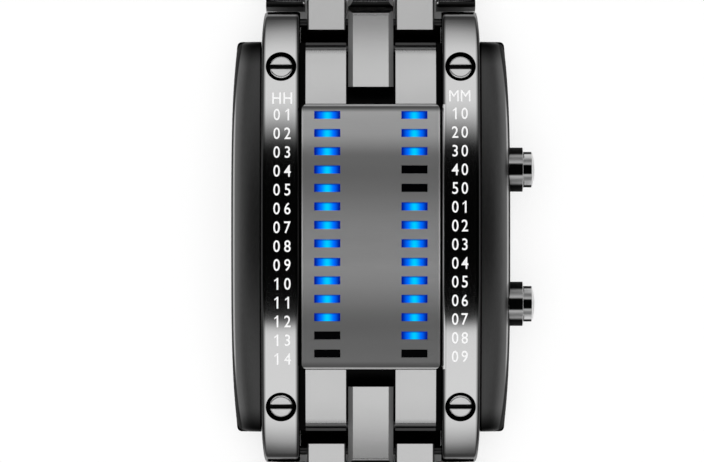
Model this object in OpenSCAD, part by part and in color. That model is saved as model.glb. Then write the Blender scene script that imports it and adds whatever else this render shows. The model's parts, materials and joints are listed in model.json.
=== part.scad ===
// Wristwatch that shows the time on two columns of light slots, with a steel link bracelet.
// It lies face up on a table with the bracelet laid out flat: +Y to the twelve o'clock
// strand, +X to the pushers, +Z out of the display. The origin is the middle of the case
// back's flat face. Millimetres throughout.

/* [Watch head] */
// Length of the case along the bracelet, between the ends of the side covers
case_len = 45; // [44:0.5:47]
// Width of the middle case, over both scale rails
case_w = 25.2; // [25:0.1:26]
// Height of the scale rails above the table at the middle of the watch
head_h = 11.2; // [11:0.1:12]
// Radius of the arched top, which runs along the bracelet
arch_r = 62; // [60:1:68]
// How far a lug pin stands beyond the ends of the side covers
lug_reach = 2.2; // [2:0.1:3]
// Width of one scale rail
rail_w = 4.45; // [4.3:0.05:4.6]
// Length of the display plate
plate_len = 30.4; // [30:0.2:31]
// Thickness of the display plate
plate_t = 1.2; // [1:0.1:1.3]
// How far the display plate stands above the scale rails
plate_rise = 0.4; // [0.2:0.1:0.6]
// Width of one side cover
side_w = 3.45; // [3.2:0.05:4]
// How far a side cover's outer edge bows outward from its ends
side_bow = 0.7; // [0.4:0.1:1]
// Height of the side covers' crown below the scale rails
side_step = 0.6; // [0.4:0.1:1]
// Thickness of the case back
back_t = 1.2; // [1:0.1:1.3]

/* [Display] */
// Number of light slots in one column
rows = 14; // [10:1:14]
// Distance between neighbouring light slots, along the arch
row_pitch = 2.11; // [1.9:0.01:2.12]
// Width of a light slot
slot_w = 3; // [2.4:0.1:3.4]
// Height of a light slot
slot_h = 0.95; // [0.7:0.05:1.1]
// Distance between the two columns of light slots
column_gap = 10; // [9:0.1:10]

/* [Pushers] */
// Distance between the two pushers
pusher_span = 15.5; // [14:0.5:17]
// Diameter of the fixed collar round a pusher
collar_d = 5.1; // [4.9:0.1:5.2]
// How far the collar stands out of the side cover
collar_out = 1.5; // [1.2:0.1:2]
// Diameter of a pusher's cap
cap_d = 4.1; // [3.8:0.1:4.2]
// How far the cap stands out of its collar
cap_out = 1.35; // [1.2:0.05:1.6]
// Travel of a pusher
pusher_travel = 1; // [0.6:0.1:1]
// Diameter of a pusher's stem
stem_d = 1.2; // [1:0.1:1.4]

/* [Bracelet] */
// Thickness of the links, the scale rails and the lugs
link_t = 2.6; // [2.4:0.1:2.7]
// Distance from one pivot pin to the next
link_pitch = 9; // [8.5:0.1:9.5]
// How much narrower the bracelet is than the middle case, at each side
band_inset = 0.5; // [0.3:0.1:0.8]
// Width of the bracelet at the clasp
band_end_w = 21; // [20.6:0.1:22]
// Width of the centre block in each link
centre_w = 5.2; // [4.8:0.1:5.4]
// Width of each block beside the centre block
inner_w = 4.5; // [4.3:0.05:4.6]
// Diameter of the pivot pins and the cross pins
pin_d = 1; // [0.8:0.05:1.1]
// Radius of the rounded far edge of a block
block_round = 1; // [0.6:0.1:1.2]

/* [Clasp] */
// Length of the shut clasp along its curve, from its pivot pin to the opened pivot
clasp_len = 36; // [35:0.5:38]
// Radius of the clasp's curve at its pivot pins
clasp_r = 69.3; // [66:0.1:74]
// Thickness of the pressed cover
cover_t = 0.9; // [0.8:0.05:1]
// Thickness of the long folding blade
long_t = 0.8; // [0.7:0.05:0.8]
// Thickness of the short folding blade
short_t = 0.7; // [0.6:0.05:0.8]
// Diameter of the clasp's hinge pins
hinge_d = 0.8; // [0.7:0.05:0.9]
// Travel of a clasp button
button_travel = 0.6; // [0.4:0.1:0.6]

/* [Hidden] */
$fn = 72;

// Clearances: parts that are fixed together, parts that turn, blocks side by side
fixed_gap = 0.02;
turn_gap = 0.05;
side_gap = 0.25;
// Room between the ends of blocks that turn past each other
end_gap = 0.45;
tongue_gap = 1;
// Something safely larger than the watch head, for cutting tools
far = 40;

// Links between the six o'clock lug and the clasp
lower_links = 7;

// ---- Arch of the head and pivot pins of the strands ----
arch_z = head_h - arch_r;
lug_span = case_len + 2 * lug_reach;
pin_arc_r = arch_r - link_t / 2;
pin_y = lug_span / 2;
pin_z = arch_z + sqrt(pin_arc_r * pin_arc_r - pin_y * pin_y);
lug_angle = asin(pin_y / pin_arc_r);
end_angle = lug_angle + asin(link_t / 2 / pin_arc_r);
rail_in = case_w / 2 - rail_w;
case_arc_r = arch_r - link_t;
half_len = case_len / 2;
// Length of the underside's upswept part at each end, and half the flat part between
sweep_len = 4.5;
flat_half = half_len - sweep_len;
// Heights of the underside at its ends, and of a side cover's lower edge
middle_end_z = 3;
cover_end_z = 4;
cover_lift = 0.6;
// The first two links slope down to the table, so the strands then lie flat
pin_drop = pin_z - link_t / 2;
slopes = [asin(0.65 * pin_drop / link_pitch), asin(0.35 * pin_drop / link_pitch)];
function slope(k) = k <= len(slopes) ? slopes[k - 1] : 0;
function pin_at(k) = k == 1
  ? [pin_y, pin_z]
  : pin_at(k - 1) + link_pitch * [cos(slope(k - 1)), -sin(slope(k - 1))];
band_w = case_w - 2 * band_inset;
function band_at(k) = band_w + (band_end_w - band_w) * min(k - 1, lower_links) / lower_links;

// ---- Blocks of a link ----
tongue_in = centre_w / 2 + side_gap;
tongue_out = tongue_in + inner_w;
outer_in = tongue_out + side_gap;
tongue_back = link_t / 2 - 0.15;
outer_start = link_t / 2 + end_gap;
tongue_end = link_pitch - link_t / 2 - tongue_gap;
cross_y = (outer_start + tongue_end) / 2;
centre_bevel = 0.55;
inner_bevel = 0.2;
near_round = 0.8;
pin_inset = 0.25;

// ---- Inside of the head ----
board_t = 0.8;
board_w = 15.4;
board_len = 28.9;
board_z = 5.2;
led_t = 0.6;
cavity = [18.8, 29.2];
cavity_top = 6.15;
cavity_round = 2.5;
cell_d = 20;
cell_t = 1.6;
cell_room = 0.3;
cell_z = back_t + 0.1;
holder_z = cell_z + cell_t + 0.2;
shaft_window = [14.4, 29.2];
shaft_round = 0.4;
strip_t = 1.08;
strip_w = 3.8;
gasket_w = 0.6;
// The gasket runs round the cell and the cavity, and the back reaches past it to its screws
gasket_room = [0.45, 0.15];
gasket_size = [cell_d, cavity[1]] + 2 * (gasket_room + gasket_w * [1, 1]);
gasket_round = 3;
back_rim = 0.6;
back_end = 2.05;
back_size = [case_w - 2 * back_rim, gasket_size[1] + 2 * back_end];
back_round = 1.5;
back_edge = 0.35;
back_screw_at = [back_size[0], back_size[1]] / 2 - [back_round, back_round];
back_screw_d = 1;
back_head_d = 1.9;
back_head_t = 0.6;

// How far the rows of light slots are moved toward twelve o'clock
row_shift = 0.3;

// ---- Rail screws ----
rail_screw_x = case_w / 2 - rail_w / 2 - 0.05;
rail_screw_in = 2.9;
rail_screw_y = half_len - rail_screw_in;
rail_screw_a = asin(rail_screw_y / arch_r);
screw_recess_d = 3.54;
screw_recess = 1;
screw_head_d = 2.8;
screw_chamfer = 0.2;
screw_head_t = 0.9;
screw_d = 1.2;
screw_len = 2.2;
screw_slot = 0.5;

// ---- Pushers ----
pusher_z = 5.2;
side_x = case_w / 2 + 0.03;
side_out = side_x + side_w;
collar_x = side_out + 0.05 - side_bow * pow(pusher_span / case_len, 2) - 0.2;
collar_end = side_out + collar_out;
tube_d = 4.7;
tube_floor = 0.95;
cap_in = pusher_travel + 0.2;
clip_d = 2;
clip_t = 0.3;
clip_x = cavity[0] / 2 - 0.1;
switch_nub = 0.15;
stem_tip = board_w / 2 + switch_nub + turn_gap + pusher_travel;
switch = [1.9, 4.4, 1.4];
spring_d = 3.1;
spring_wire = 0.3;
spring_turns = 4;

// ---- Clasp, along its own curve ----
clasp_half = clasp_len / 2 / clasp_r * 180 / PI;
clasp_pin = pin_at(lower_links + 1);
clasp_y = clasp_pin[0] + clasp_r * sin(clasp_half);
clasp_z = clasp_pin[1] - clasp_r * cos(clasp_half);
cover_w = band_end_w;
cover_wall = 1.1;
cover_low = clasp_r + 1.2;
cover_top = cover_low + cover_t;
wall_low = clasp_r - 0.8;
hinge_room = 0.8;
far_hinge_r = clasp_r + 0.2;
near_hinge_r = clasp_r - 0.7;
near_hinge_s = 7;
far_hinge_s = clasp_len - 3;
long_low = clasp_r - 0.2;
long_w = cover_w - 2 * cover_wall - 0.6;
short_low = clasp_r - 1.6;
short_w = 15;
near_knuckle = 6;
button_s = 12.5;
button_head = [0.6, 5.6, 1.7];
button_pad = [cover_wall + 0.15 + button_travel, 4.4, 1.3];
button_low = clasp_r - 0.55;
latch_cut = [button_travel + 1.1, 8];
// Angle on the clasp's curve at a length s from its pivot pin
function clasp_a(s) = s / clasp_r * 180 / PI - clasp_half;

// ---- Shared shapes ----
module both_sides() {
  children();
  mirror([1, 0, 0]) children();
}

module both_ends() {
  children();
  mirror([0, 1, 0]) children();
}

// Revolves a profile of (radius, x) about an axis along X at (y0, z0), between two angles
// that are measured from straight up toward +Y
module sweep_about(y0, z0, a0, a1) {
  translate([0, y0, z0])
    rotate([0, 90, 0])
      rotate([0, 0, 180 - a1])
        rotate_extrude(angle = a1 - a0, $fn = 180)
          children();
}

// Puts a shape on a curve about an axis along X: local Y runs along it and local Z outward
module place_about(y0, z0, a, r) {
  translate([0, y0, z0])
    rotate([-a, 0, 0])
      translate([0, 0, r])
        children();
}

// Extrudes an outline drawn in (y, z) along X
module along_x(x0, x1) {
  translate([x0, 0, 0])
    rotate([90, 0, 90])
      linear_extrude(x1 - x0)
        children();
}

// Extrudes an outline drawn in (x, z) along Y
module along_y(y0, y1) {
  translate([0, y1, 0])
    rotate([90, 0, 0])
      linear_extrude(y1 - y0)
        children();
}

module rod_x(d, x0, x1) {
  translate([x0, 0, 0])
    rotate([0, 90, 0])
      cylinder(d = d, h = x1 - x0);
}

module rounded_plan(size, r) {
  square([size[0], size[1] - 2 * r], center = true);
  square([size[0] - 2 * r, size[1]], center = true);
  for (sx = [-1, 1], sy = [-1, 1])
    translate([sx * (size[0] / 2 - r), sy * (size[1] / 2 - r)])
      circle(r);
}

// What rounding an outer corner takes away, with the round's centre at the origin
module corner_cut(r) {
  difference() {
    square(2 * r);
    circle(r);
  }
}

// Side view of a block: rounded upper edge at the far end, and one at the near end if asked
module block_outline(y0, y1, near) {
  difference() {
    translate([y0, -link_t / 2]) square([y1 - y0, link_t]);
    translate([y1 - block_round, link_t / 2 - block_round]) corner_cut(block_round);
    if (near > 0)
      translate([y0 + near, link_t / 2 - near]) mirror([1, 0]) corner_cut(near);
  }
}

// End view of a block with bevelled upper edges
module bevel_outline(x0, x1, bevel) {
  polygon([
    [x0, -link_t / 2], [x1, -link_t / 2], [x1, link_t / 2 - bevel],
    [x1 - bevel, link_t / 2], [x0 + bevel, link_t / 2], [x0, link_t / 2 - bevel]
  ]);
}

module block(x0, x1, y0, y1, bevel, near = 0) {
  intersection() {
    along_x(x0, x1) block_outline(y0, y1, near);
    along_y(y0, y1) bevel_outline(x0, x1, bevel);
  }
}

// ---- Watch head ----
module head_sweep(a0, a1) {
  sweep_about(0, arch_z, a0, a1) children();
}

module head_place(a, r) {
  place_about(0, arch_z, a, r) children();
}

// Everything inside a radius of the arch
module under_arch(r) {
  translate([0, 0, arch_z]) rod_x(2 * r, -far, far);
}

// Takes the upper corner off at the far end of a lug
module lug_round(x0, x1) {
  both_ends()
    head_place(lug_angle, pin_arc_r)
      along_x(x0, x1)
        translate([link_t / 2 - block_round, link_t / 2 - block_round])
          corner_cut(block_round);
}

module side_view(len, z_mid, z_end, bend) {
  polygon([
    [-bend, z_mid], [bend, z_mid], [len / 2, z_end], [len / 2, far],
    [-len / 2, far], [-len / 2, z_end]
  ]);
}

module case_middle() {
  color([0.32, 0.33, 0.35])
    difference() {
      union() {
        intersection() {
          under_arch(case_arc_r);
          along_x(-case_w / 2, case_w / 2)
            side_view(case_len - 0.2, back_t + fixed_gap, middle_end_z, flat_half);
        }
        // Bridges under the gap between the end blocks and the first links
        both_ends()
          along_x(0.05 - rail_in, rail_in - 0.05)
            bridge_outline();
        // Raised frame that the display plate lies on
        intersection() {
          under_arch(arch_r + plate_rise - plate_t - fixed_gap);
          translate([-rail_in + 0.15, -plate_len / 2, cavity_top])
            cube([2 * rail_in - 0.3, plate_len, far]);
        }
      }
      translate([0, 0, back_t]) cylinder(d = cell_d + 2 * cell_room, h = holder_z - back_t + 0.1);
      translate([0, 0, holder_z - 0.1])
        linear_extrude(cavity_top - holder_z + 0.1)
          rounded_plan(cavity, cavity_round);
      translate([0, 0, cavity_top - 0.1])
        linear_extrude(far)
          rounded_plan(shaft_window, shaft_round);
      translate([0, 0, back_t]) gasket_ring(0.03, 0.6);
      pusher_bores(stem_d + 2 * turn_gap);
      rail_screw_holes(screw_d + 2 * fixed_gap, screw_len + 0.3);
      for (sx = [-1, 1], sy = [-1, 1])
        translate([sx * back_screw_at[0], sy * back_screw_at[1], 0])
          cylinder(d = back_screw_d + 2 * fixed_gap, h = back_t + 2.3);
    }
}

// Side view of a bridge, which stays clear of the first link as it turns on its pin
module bridge_outline() {
  room = link_t * 0.7 + 0.1;
  thick = 0.65;
  end = pin_y - 0.3;
  polygon([
    [half_len - 2.5, pin_z - room - thick], [end, pin_z - room - thick], [end, pin_z - room],
    [half_len + 0.4, pin_z - room], [half_len - 0.3, pin_z - room + 0.5], [half_len - 2.5, pin_z]
  ]);
}

module rail_screw_holes(d, depth) {
  both_sides()
    both_ends()
      head_place(rail_screw_a, arch_r - screw_recess - depth)
        translate([rail_screw_x, 0, 0])
          cylinder(d = d, h = depth + 1);
}

// A scale rail runs from lug to lug and carries the numbers of one column
module scale_rail() {
  difference() {
    head_sweep(-end_angle, end_angle)
      polygon([
        [case_arc_r + fixed_gap, rail_in], [arch_r - 0.3, rail_in], [arch_r, rail_in + 0.3],
        [arch_r, case_w / 2 - 0.3], [arch_r - 0.3, case_w / 2],
        [case_arc_r + fixed_gap, case_w / 2]
      ]);
    lug_round(0, far);
    both_ends()
      head_place(lug_angle, pin_arc_r)
        rod_x(pin_d + 2 * fixed_gap, rail_in - 1, case_w / 2 + 1);
    both_ends()
      head_place(rail_screw_a, arch_r - screw_recess)
        translate([rail_screw_x, 0, 0])
          cylinder(d = screw_recess_d, h = screw_recess + 1);
    rail_screw_holes(screw_d + 2 * fixed_gap, screw_len);
  }
}

module hour_rail() {
  color([0.72, 0.73, 0.75]) mirror([1, 0, 0]) scale_rail();
}

module minute_rail() {
  color([0.72, 0.73, 0.75]) scale_rail();
}

module rail_screw() {
  difference() {
    rotate_extrude()
      polygon([
        [0, -screw_len], [screw_d / 2, -screw_len], [screw_d / 2, 0], [screw_head_d / 2, 0],
        [screw_head_d / 2, screw_head_t - screw_chamfer],
        [screw_head_d / 2 - screw_chamfer, screw_head_t], [0, screw_head_t]
      ]);
    translate([-screw_head_d, -screw_slot / 2, screw_head_t / 2])
      cube([2 * screw_head_d, screw_slot, screw_head_t]);
  }
}

module rail_screws() {
  color([0.6, 0.61, 0.63])
    both_sides()
      both_ends()
        head_place(rail_screw_a, arch_r - screw_recess)
          translate([rail_screw_x, 0, 0])
            rail_screw();
}

// A side cover: quarter-round section along the arch, bowed outer edge, upswept ends
module side_cover() {
  bow_r = (half_len * half_len + side_bow * side_bow) / (2 * side_bow);
  crown = arch_r - side_step;
  difference() {
    intersection() {
      head_sweep(-end_angle, end_angle)
        intersection() {
          translate([arch_r / 2, side_x]) square([crown - arch_r / 2, side_w]);
          union() {
            translate([crown - side_w, side_x]) circle(side_w);
            translate([arch_r / 2, side_x]) square([crown - side_w - arch_r / 2, side_w]);
          }
        }
      along_x(side_x - 1, side_out + 1) side_view(case_len, back_t + cover_lift, cover_end_z, flat_half);
      intersection() {
        translate([side_out - bow_r, 0, -far])
          cylinder(r = bow_r, h = 3 * far, $fn = 360);
        translate([0, 0, -far])
          linear_extrude(3 * far)
            rounded_plan([2 * side_out, case_len], 0.8);
      }
    }
    children();
  }
}

module left_side_cover() {
  color([0.25, 0.25, 0.27]) mirror([1, 0, 0]) side_cover();
}

module right_side_cover() {
  color([0.25, 0.25, 0.27])
    side_cover() {
      pusher_bores(tube_d + 2 * fixed_gap);
      at_pushers() rod_x(collar_d + 2 * fixed_gap, collar_x - fixed_gap, side_out + 1);
    }
}

// The angle on the arch of one light slot: the rows sit a little toward twelve o'clock
function row_angle(i) = (((rows - 1) / 2 - i) * row_pitch + row_shift) / arch_r * 180 / PI;

module at_slots() {
  for (sx = [-1, 1], i = [0 : rows - 1])
    head_place(row_angle(i), 0)
      translate([sx * column_gap / 2, 0, 0])
        children();
}

module display_plate() {
  top = arch_r + plate_rise;
  half = rail_in - 0.22;
  edge = 0.15;
  color([0.45, 0.46, 0.48])
    difference() {
      intersection() {
        head_sweep(-end_angle, end_angle)
          polygon([
            [top - plate_t, -half], [top - edge, -half], [top, edge - half],
            [top, half - edge], [top - edge, half], [top - plate_t, half]
          ]);
        linear_extrude(far) rounded_plan([2 * half, plate_len], 0.6);
      }
      at_slots()
        translate([-slot_w / 2, -slot_h / 2, top - plate_t - 1])
          cube([slot_w, slot_h, plate_t + 2]);
    }
}

// Two translucent strips under the plate, each with a boss that fills every slot
module window_strips() {
  seat = arch_r + plate_rise - plate_t - fixed_gap;
  boss_top = arch_r + plate_rise - 0.08;
  spare = 0.55;
  color([0.05, 0.25, 0.9]) {
    both_sides()
      head_sweep(row_angle(rows - 1) - spare, row_angle(0) + spare)
        translate([seat - strip_t, (column_gap - strip_w) / 2])
          square([strip_t, strip_w]);
    at_slots()
      translate([fixed_gap - slot_w / 2, fixed_gap - slot_h / 2, seat - strip_t / 2])
        cube([slot_w, slot_h, boss_top - seat + strip_t / 2] - [2 * fixed_gap, 2 * fixed_gap, 0]);
  }
}

// End blocks fill the head between the rails, from the display plate to the lug pin
module end_block() {
  tongue_x = centre_w / 2 + side_gap;
  cross_a = (asin(plate_len / 2 / pin_arc_r) + 2 * lug_angle) / 3;
  end_y = half_len - 0.1;
  difference() {
    union() {
      // Blocks beside the centre, square where they meet the display plate
      both_sides()
        intersection() {
          head_sweep(0, end_angle)
            translate([case_arc_r + fixed_gap, tongue_x])
              square([link_t - fixed_gap, rail_in - tongue_x - 0.65]);
          translate([0, plate_len / 2 + 0.08, 0])
            cube([rail_in, end_y - plate_len / 2 - 0.08, far]);
        }
      intersection() {
        head_sweep(0, end_angle)
          polygon([
            [case_arc_r + fixed_gap, -centre_w / 2], [arch_r - centre_bevel, -centre_w / 2],
            [arch_r, centre_bevel - centre_w / 2], [arch_r, centre_w / 2 - centre_bevel],
            [arch_r - centre_bevel, centre_w / 2], [case_arc_r + fixed_gap, centre_w / 2]
          ]);
        translate([-far, plate_len / 2 + 2.05, 0]) cube([2 * far, far, far]);
      }
    }
    // Rounded upper edges at the far ends
    lug_round(-centre_w / 2 - side_gap / 2, centre_w / 2 + side_gap / 2);
    both_sides()
      head_place(asin(end_y / arch_r), arch_r)
        along_x(tongue_x - side_gap / 2, rail_in)
          translate([-block_round, -block_round - 0.15])
            corner_cut(block_round);
    head_place(lug_angle, pin_arc_r) rod_x(pin_d + 2 * fixed_gap, -rail_in, rail_in);
    head_place(cross_a, pin_arc_r) rod_x(pin_d + 2 * fixed_gap, -rail_in, rail_in);
  }
  head_place(cross_a, pin_arc_r) rod_x(pin_d, pin_inset - rail_in + 0.7, rail_in - 0.7 - pin_inset);
}

module upper_end_block() {
  color([0.75, 0.76, 0.78]) end_block();
}

module lower_end_block() {
  color([0.75, 0.76, 0.78]) mirror([0, 1, 0]) end_block();
}

module lug_pins() {
  color([0.55, 0.56, 0.58])
    both_ends()
      head_place(lug_angle, pin_arc_r)
        rod_x(pin_d, pin_inset - case_w / 2, case_w / 2 - pin_inset);
}

// ---- Pushers ----
module at_pushers() {
  for (sy = [-1, 1])
    translate([0, sy * pusher_span / 2, pusher_z])
      children();
}

module pusher_bores(d) {
  at_pushers() rod_x(d, cavity[0] / 2 - 1, side_out + 1);
}

module pusher_tubes() {
  color([0.7, 0.71, 0.73])
    at_pushers()
      difference() {
        union() {
          rod_x(collar_d, collar_x, collar_end);
          rod_x(tube_d, side_x + fixed_gap, collar_x + 0.1);
        }
        rod_x(cap_d + 2 * turn_gap, side_x + tube_floor, collar_end + 1);
        rod_x(stem_d + 2 * turn_gap, side_x - 1, side_out);
      }
}

// Half section of a pusher, as (radius, x): domed cap with a fine groove, stem and clip
module pusher_section() {
  dome_r = 1.5 * cap_d;
  cap_end = collar_end + cap_out;
  difference() {
    union() {
      intersection() {
        translate([0, collar_end - cap_in]) square([cap_d / 2, cap_in + cap_out]);
        translate([0, cap_end - dome_r]) circle(r = dome_r);
      }
      translate([0, stem_tip]) square([stem_d / 2, collar_end - stem_tip]);
      translate([0, clip_x - clip_t]) square([clip_d / 2, clip_t]);
    }
    translate([cap_d / 2 - 0.85, cap_end - 0.35]) square([0.12, 1]);
  }
}

// A pusher slides toward -X when pressed
module pusher(sy) {
  color([0.78, 0.79, 0.8])
    translate([0, sy * pusher_span / 2, pusher_z])
      rotate([0, 90, 0])
        rotate_extrude()
          intersection() {
            pusher_section();
            square([cap_d, side_out * 2]);
          }
}

module upper_pusher() { pusher(1); }

module lower_pusher() { pusher(-1); }

// Coil of round wire: rings of six points along a helix about X
module coil(d, wire, turns, x0, x1) {
  per_turn = 12;
  steps = turns * per_turn;
  sides = 6;
  ring = (d - wire) / 2;
  points = [for (i = [0 : steps], j = [0 : sides - 1])
    let (a = i * 360 / per_turn, b = j * 360 / sides, r = ring + wire / 2 * cos(b))
      [x0 + wire / 2 + (x1 - x0 - wire) * i / steps + wire / 2 * sin(b), r * cos(a), r * sin(a)]];
  walls = [for (i = [0 : steps - 1], j = [0 : sides - 1], half = [0, 1])
    let (n = (j + 1) % sides, p = i * sides, q = p + sides)
      half == 0 ? [p + j, p + n, q + n] : [p + j, q + n, q + j]];
  first = [for (j = [1 : sides - 2]) [0, j + 1, j]];
  last = [for (j = [1 : sides - 2]) [0, j, j + 1] + steps * sides * [1, 1, 1]];
  polyhedron(points, concat(walls, first, last));
}

module pusher_spring(sy) {
  color([0.6, 0.6, 0.62])
    translate([0, sy * pusher_span / 2, pusher_z])
      coil(spring_d, spring_wire, spring_turns, side_x + tube_floor + fixed_gap,
           collar_end - cap_in - fixed_gap);
}

module upper_pusher_spring() { pusher_spring(1); }

module lower_pusher_spring() { pusher_spring(-1); }

// ---- Back of the case ----
module gasket_ring(grow, depth) {
  linear_extrude(depth)
    difference() {
      rounded_plan(gasket_size + 2 * grow * [1, 1], gasket_round);
      rounded_plan(gasket_size - 2 * (gasket_w + grow) * [1, 1], gasket_round - gasket_w);
    }
}

module at_back_screws() {
  for (sx = [-1, 1], sy = [-1, 1])
    translate([sx * back_screw_at[0], sy * back_screw_at[1], 0])
      children();
}

module case_back() {
  color([0.68, 0.69, 0.71])
    difference() {
      union() {
        linear_extrude(back_edge)
          rounded_plan(back_size - 2 * back_edge * [1, 1], back_round - back_edge);
        translate([0, 0, back_edge])
          linear_extrude(back_t - back_edge)
            rounded_plan(back_size, back_round);
      }
      at_back_screws() {
        translate([0, 0, -1]) cylinder(d = back_screw_d + 2 * fixed_gap, h = back_t + 2);
        translate([0, 0, -1]) cylinder(d = back_head_d + 2 * turn_gap, h = 1.05 + back_head_t);
      }
    }
}

module back_gasket() {
  color([0.08, 0.08, 0.08])
    translate([0, 0, back_t]) gasket_ring(0, 0.55);
}

module back_screws() {
  color([0.6, 0.61, 0.63])
    at_back_screws() {
      difference() {
        translate([0, 0, 0.05]) cylinder(d = back_head_d, h = back_head_t);
        translate([-back_head_d, -0.15, -0.2]) cube([2 * back_head_d, 0.3, 0.5]);
      }
      translate([0, 0, 0.05 + back_head_t]) cylinder(d = back_screw_d, h = back_t + 1.5);
    }
}

// ---- Watch module ----
module circuit_board() {
  color([0.05, 0.3, 0.15])
    translate([0, 0, board_z])
      linear_extrude(board_t)
        rounded_plan([board_w, board_len], 1);
}

module leds() {
  color([0.3, 0.5, 1])
    for (sx = [-1, 1], i = [0 : rows - 1])
      translate([
        sx * column_gap / 2 - slot_w / 2 + 0.4,
        arch_r * sin(row_angle(i)) - slot_h / 2,
        board_z + board_t
      ])
        cube([slot_w - 0.8, slot_h, led_t]);
}

module board_parts() {
  chip = [5, 5, 0.9];
  chip_y = 1;
  crystal_d = 1.6;
  crystal_len = 5;
  crystal_at = [-3, -6.5];
  color([0.1, 0.1, 0.11])
    translate([-chip[0] / 2, chip_y, board_z - chip[2]]) cube(chip);
  color([0.7, 0.7, 0.72])
    translate([crystal_at[0], crystal_at[1], board_z - crystal_d / 2])
      rotate([90, 0, 0]) cylinder(d = crystal_d, h = crystal_len, center = true);
  // Side switches that the pushers press
  for (sy = [-1, 1])
    color([0.15, 0.15, 0.16])
      translate([board_w / 2 - switch[0], sy * pusher_span / 2 - switch[1] / 2, board_z - switch[2]]) {
        cube(switch);
        translate([0, switch[1] / 2, switch[2] / 2 + 0.3]) rod_x(0.7, switch[0] / 2, switch[0] + switch_nub);
      }
}

module module_holder() {
  pocket = switch[1] + 0.8;
  rim = [3.4, 3.6];
  color([0.9, 0.9, 0.88])
    translate([0, 0, holder_z])
      linear_extrude(board_z - holder_z - 0.04)
        difference() {
          rounded_plan(cavity - [0.2, 0.2], cavity_round - 0.1);
          square(cavity - 2 * rim, center = true);
          for (sy = [-1, 1])
            translate([board_w / 2 - switch[0] - 0.2, sy * pusher_span / 2 - pocket / 2])
              square([cavity[0], pocket]);
        }
}

module battery() {
  color([0.8, 0.8, 0.82])
    translate([0, 0, cell_z]) {
      cylinder(d = cell_d, h = cell_t - 0.2);
      cylinder(d = cell_d - 1.6, h = cell_t);
    }
}

module battery_contact() {
  arm = [0.8 * cell_d, 0.12 * cell_d];
  color([0.85, 0.7, 0.4])
    translate([0, 0, cell_z + cell_t + 0.03])
      linear_extrude(0.14) {
        square(arm, center = true);
        square([arm[1], arm[0]], center = true);
        circle(d = 0.3 * cell_d);
      }
}

// ---- Bracelet ----
// One link: centre block, two inner blocks that pivot on the pin before, two outer blocks,
// the cross pin that ties all five together and the pivot pin for the next link
module link(k) {
  w0 = band_at(k) / 2;
  w1 = band_at(k + 1) / 2;
  tip = link_pitch + link_t / 2;
  fixed_d = pin_d + 2 * fixed_gap;
  module fixed_bores() {
    translate([0, cross_y, 0]) rod_x(fixed_d, -w0 - 1, w0 + 1);
    translate([0, link_pitch, 0]) rod_x(fixed_d, -w0 - 1, w0 + 1);
  }
  both_sides()
    difference() {
      intersection() {
        block(outer_in, w0 + 1, outer_start, tip, inner_bevel, near_round);
        translate([0, 0, -link_t])
          linear_extrude(2 * link_t)
            polygon([[0, outer_start], [w0, outer_start], [w1, tip], [0, tip]]);
      }
      fixed_bores();
    }
  difference() {
    block(-centre_w / 2, centre_w / 2, outer_start, tip, centre_bevel, near_round);
    fixed_bores();
  }
  both_sides()
    difference() {
      block(tongue_in, tongue_out, -tongue_back, tongue_end, inner_bevel);
      fixed_bores();
      rod_x(pin_d + 2 * turn_gap, 0, w0);
    }
  translate([0, cross_y, 0]) rod_x(pin_d, pin_inset - (w0 + w1) / 2, (w0 + w1) / 2 - pin_inset);
  translate([0, link_pitch, 0]) rod_x(pin_d, pin_inset - w1, w1 - pin_inset);
}

module placed_link(k) {
  color([0.76, 0.77, 0.79])
    translate([0, pin_at(k)[0], pin_at(k)[1]])
      rotate([-slope(k), 0, 0])
        link(k);
}

module upper_link(k) { placed_link(k); }

module lower_link(k) { mirror([0, 1, 0]) placed_link(k); }

// ---- Clasp ----
module clasp_sweep(s0, s1) {
  sweep_about(clasp_y, clasp_z, clasp_a(s0), clasp_a(s1)) children();
}

module clasp_place(s, r) {
  place_about(clasp_y, clasp_z, clasp_a(s), r) children();
}

// A curved strip with a rectangular section: radius, thickness and half width
module strip(s0, s1, r, t, half_w) {
  clasp_sweep(s0, s1) translate([r, -half_w]) square([t, 2 * half_w]);
}

// Tongues for a pivot pin, like a link's inner blocks but with a round end
module tongues(s, y0, y1) {
  clasp_place(s, clasp_r)
    both_sides()
      along_x(tongue_in, tongue_out) {
        translate([y0, -link_t / 2]) square([y1 - y0, link_t]);
        circle(d = link_t);
      }
}

module pin_bore(s, d) {
  clasp_place(s, clasp_r) rod_x(d, -cover_w, cover_w);
}

module clasp_cover() {
  half = cover_w / 2;
  wall_end = far_hinge_s + hinge_room + 0.15;
  notch_s = far_hinge_s - (clasp_len - far_hinge_s) - link_t / 2 - 0.35;
  color([0.74, 0.75, 0.77])
    mirror([0, 1, 0])
      difference() {
        union() {
          strip(outer_start, wall_end, cover_low, cover_t, half);
          both_sides()
            clasp_sweep(outer_start, wall_end)
              translate([wall_low, half - cover_wall])
                square([cover_top - wall_low, cover_wall]);
          tongues(0, 0, near_hinge_s - 2);
        }
        // Room for the end of the strand, which swings through when the clasp opens
        strip(notch_s, clasp_len, cover_low - 1, cover_t + 2, tongue_out + 0.5);
        pin_bore(0, pin_d + 2 * turn_gap);
        clasp_place(far_hinge_s, far_hinge_r) rod_x(hinge_d + 2 * fixed_gap, -cover_w, cover_w);
        both_sides()
          clasp_place(button_s, button_low + (button_head[2] - button_pad[2]) / 2 - turn_gap)
            translate([half - cover_wall - 1, -button_pad[1] / 2 - turn_gap, 0])
              cube([cover_wall + 2, button_pad[1] + 2 * turn_gap, button_pad[2] + 2 * turn_gap]);
      }
}

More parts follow.
